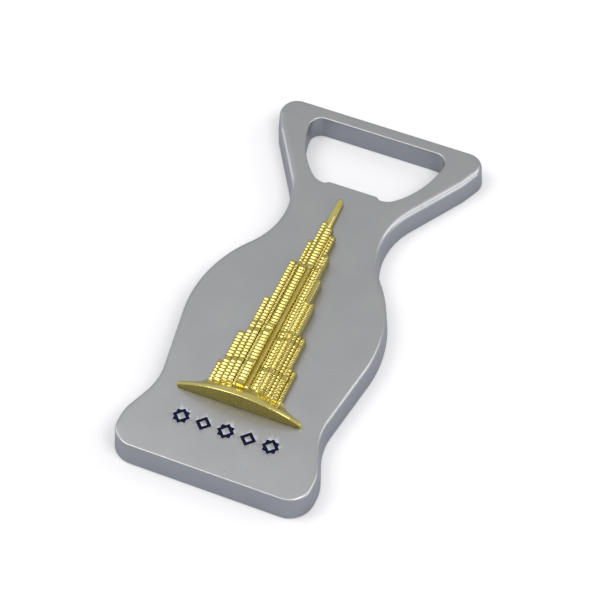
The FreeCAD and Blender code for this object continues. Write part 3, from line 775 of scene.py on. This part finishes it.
def plan_x(lines, y):
    """Where the grid lines run at y: they fan out over the podium and narrow along the spire."""
    reach = PODIUM[0][1] - FAN_START
    fan = (podium_at(min(y, PODIUM[-1][0]))[0] - FAN_START) / reach
    size = np.abs(lines)
    x = np.where(size > FAN_START, np.sign(lines) * (FAN_START + (size - FAN_START) * fan), lines)
    on_spire = np.abs(lines - SPIRE_X) <= SPIRE_RADIUS
    if y > SHAFT_END:
        x = np.where(on_spire, SPIRE_X + (lines - SPIRE_X) * spire_share(y), x)
    return x


def boundary_loops(faces):
    """Closed chains of the edges that only one face has, in the faces' own direction."""
    edges = np.vstack([faces[:, [i, (i + 1) % 4]] for i in range(4)])
    present = {tuple(edge) for edge in edges.tolist()}
    after = {a: b for a, b in present if (b, a) not in present}
    loops = []
    while after:
        first, point = after.popitem()
        loop = [first]
        while point != first:
            loop.append(point)
            point = after.pop(point)
        loops.append(loop)
    return loops


def build_tower():
    """The relief as a height field on a bent grid, closed by walls, a flat foot and two pegs."""
    shell = Shell()
    lines, rows = across_lines(), along_lines()
    x = np.array([plan_x(lines, y) for y in rows])
    y = np.repeat(rows[:, None], len(lines), 1)
    height, depth = tower_height(x, y)
    number = np.arange(height.size).reshape(height.shape)
    cells = np.stack([number[:-1, :-1], number[:-1, 1:], number[1:, 1:], number[1:, :-1]], -1).reshape(-1, 4)
    cells = cells[(height.ravel()[cells] > 0).all(1)]
    used, renumbered = np.unique(cells, return_inverse=True)
    cells = renumbered.reshape(-1, 4)
    points = np.column_stack([x.ravel(), y.ravel(), RELIEF_FOOT + height.ravel()])[used]
    shell.add(points)
    shell.faces += cells.tolist()
    foot_loops = []
    for loop in boundary_loops(cells):
        foot = shell.add(at_height(points[loop][:, :2], RELIEF_FOOT))
        count = len(loop)
        shell.faces += [
            (loop[(i + 1) % count], loop[i], foot + i, foot + (i + 1) % count) for i in range(count)
        ]
        foot_loops.append(points[loop][:, :2])
    for place in PEGS:
        ring = arc(place, PEG_RADIUS, 0, 2 * math.pi)[:-1]
        tip = place + (ring - place) * (1 - PEG_CHAMFER / PEG_RADIUS)
        end = RELIEF_FOOT - PEG_LENGTH
        shell.rings([at_height(ring, RELIEF_FOOT), at_height(ring, end + PEG_CHAMFER), at_height(tip, end)])
        shell.fill([tip], end)
        foot_loops.append(ring)
    shell.fill(foot_loops, RELIEF_FOOT)
    # Painted shade for the gold: darker with groove depth, dark on the relief's walls, foot and pegs, and on
    # the podium's front.
    values = np.full(shell.count, FOOT_SHADE)
    values[:len(points)] = np.clip(depth.ravel()[used] / GROOVE_DEPTH, 0, 1)
    at_front = points[:, 1] < PODIUM[0][0] + WALL_GAP
    values[:len(points)][at_front] = FRONT_SHADE
    return shell.piece("relief_tower", "gold_plate", ["tower_relief"], values=values)


# ---------------------------------------------------------------- enamel


def build_enamel(number, outer, island, place):
    """Enamel in one ornament's channel: a level pool that climbs a little where it meets metal."""
    shell = Shell()
    climbs = [(0.0, MENISCUS), (0.03, MENISCUS / 3), (0.08, 0.0)]
    pool = []
    for loop, inward in ((outer, -1), (island, 1)):
        wall = place + (loop - place) * (1 + inward * ENAMEL_CLEARANCE)
        rings = [at_height(wall, POCKET_FLOOR)]
        for share, climb in climbs:
            ring = place + (wall - place) * (1 + inward * share)
            rings.append(at_height(ring, ENAMEL_TOP + climb))
        shell.rings(rings)
        pool.append((wall, ring))
    shell.fill([wall for wall, ring in pool], POCKET_FLOOR)
    shell.fill([ring for wall, ring in pool], ENAMEL_TOP)
    return shell.piece("enamel_%d" % number, "enamel", ["enamel_motif_%d" % number])


# ---------------------------------------------------------------- the object

build_plate()
build_tower()
for index, (outer, island) in enumerate(MOTIF_LOOPS):
    build_enamel(index + 1, outer, island, motif_place(index))
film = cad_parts["relief_adhesive"]
film.data.materials.clear()
film.data.materials.append(adhesive())

# ---------------------------------------------------------------- stage, light and camera

FLOOR_HALF = 3.0
floor_corners = [(x * FLOOR_HALF, y * FLOOR_HALF, 0) for x, y in ((-1, -1), (1, -1), (1, 1), (-1, 1))]
floor_mesh = bpy.data.meshes.new("floor")
floor_mesh.from_pydata(floor_corners, [], [(0, 1, 2, 3)])
floor = bpy.data.objects.new("floor", floor_mesh)
bpy.context.scene.collection.objects.link(floor)
# The paper is pale in the picture itself and grey in reflections and in the light it sends back.
PAPER_SEEN, PAPER_REFLECTED = (0.92, 0.92, 0.92, 1), (0.48, 0.50, 0.55, 1)
paper = bpy.data.materials.new("white_paper")
paper.use_nodes = True
nodes, links = paper.node_tree.nodes, paper.node_tree.links
rays = nodes.new("ShaderNodeLightPath")
tone = nodes.new("ShaderNodeMix")
tone.data_type = "RGBA"
tone.inputs[MIX_FIRST].default_value = PAPER_REFLECTED
tone.inputs[MIX_SECOND].default_value = PAPER_SEEN
links.new(rays.outputs["Is Camera Ray"], tone.inputs[MIX_SHARE])
links.new(tone.outputs[MIX_COLOUR], nodes["Principled BSDF"].inputs["Base Color"])
nodes["Principled BSDF"].inputs["Roughness"].default_value = 0.9
nodes["Principled BSDF"].inputs["Specular IOR Level"].default_value = 0.0
floor_mesh.materials.append(paper)


def direction(bearing, height):
    """Unit vector at a compass bearing from +Y towards +X and a height angle."""
    flat = math.cos(height)
    return Vector((math.sin(bearing) * flat, math.cos(bearing) * flat, math.sin(height)))


camera_data = bpy.data.cameras.new("camera")
camera_data.lens = 150.0
camera_data.sensor_width = 36.0
camera = bpy.data.objects.new("camera", camera_data)
bpy.context.scene.collection.objects.link(camera)
# The camera stands in front of the base, this far round to its right, and looks down at target.
azimuth, elevation, distance = math.radians(22.69), math.radians(52.805), 0.5958
target = Vector((-0.00083, 0.00202, 0.0))
back = direction(math.pi - azimuth, elevation)
camera.location = target + back * distance
camera.rotation_euler = (-back).to_track_quat("-Z", "Y").to_euler()
bpy.context.scene.camera = camera

WORLD_COLOUR = (0.57, 0.57, 0.57, 1)
world = bpy.data.worlds.new("world")
bpy.context.scene.world = world
world.use_nodes = True
world.node_tree.nodes["Background"].inputs["Color"].default_value = WORLD_COLOUR
world.node_tree.nodes["Background"].inputs["Strength"].default_value = 1.0
bpy.context.scene.view_settings.view_transform = "Standard"

# Softboxes all round: compass bearing from +Y towards +X, height angle, and radiance.
SOFTBOX_SIZE, SOFTBOX_DISTANCE = 0.3, 0.7
SOFTBOX_TINT = (0.96, 0.96, 1.0)
SOFTBOXES = {
    "front_right": (110, 60, 5.0),
    "front_left": (250, 60, 3.5),
    "overhead": (270, 75, 2.0),
    "right": (60, 35, 2.0),
    "right_low": (90, 10, 2.0),
    "left_low": (270, 10, 2.0),
}


def softbox(name, bearing, height, radiance):
    way = direction(math.radians(bearing), math.radians(height))
    data = bpy.data.lights.new(name, "AREA")
    data.size = SOFTBOX_SIZE
    data.energy = radiance * math.pi * SOFTBOX_SIZE ** 2
    data.color = SOFTBOX_TINT
    light = bpy.data.objects.new(name, data)
    light.location = way * SOFTBOX_DISTANCE
    light.rotation_euler = (-way).to_track_quat("-Z", "Y").to_euler()
    bpy.context.scene.collection.objects.link(light)


for name, (bearing, height, radiance) in SOFTBOXES.items():
    softbox(name, bearing, height, radiance)
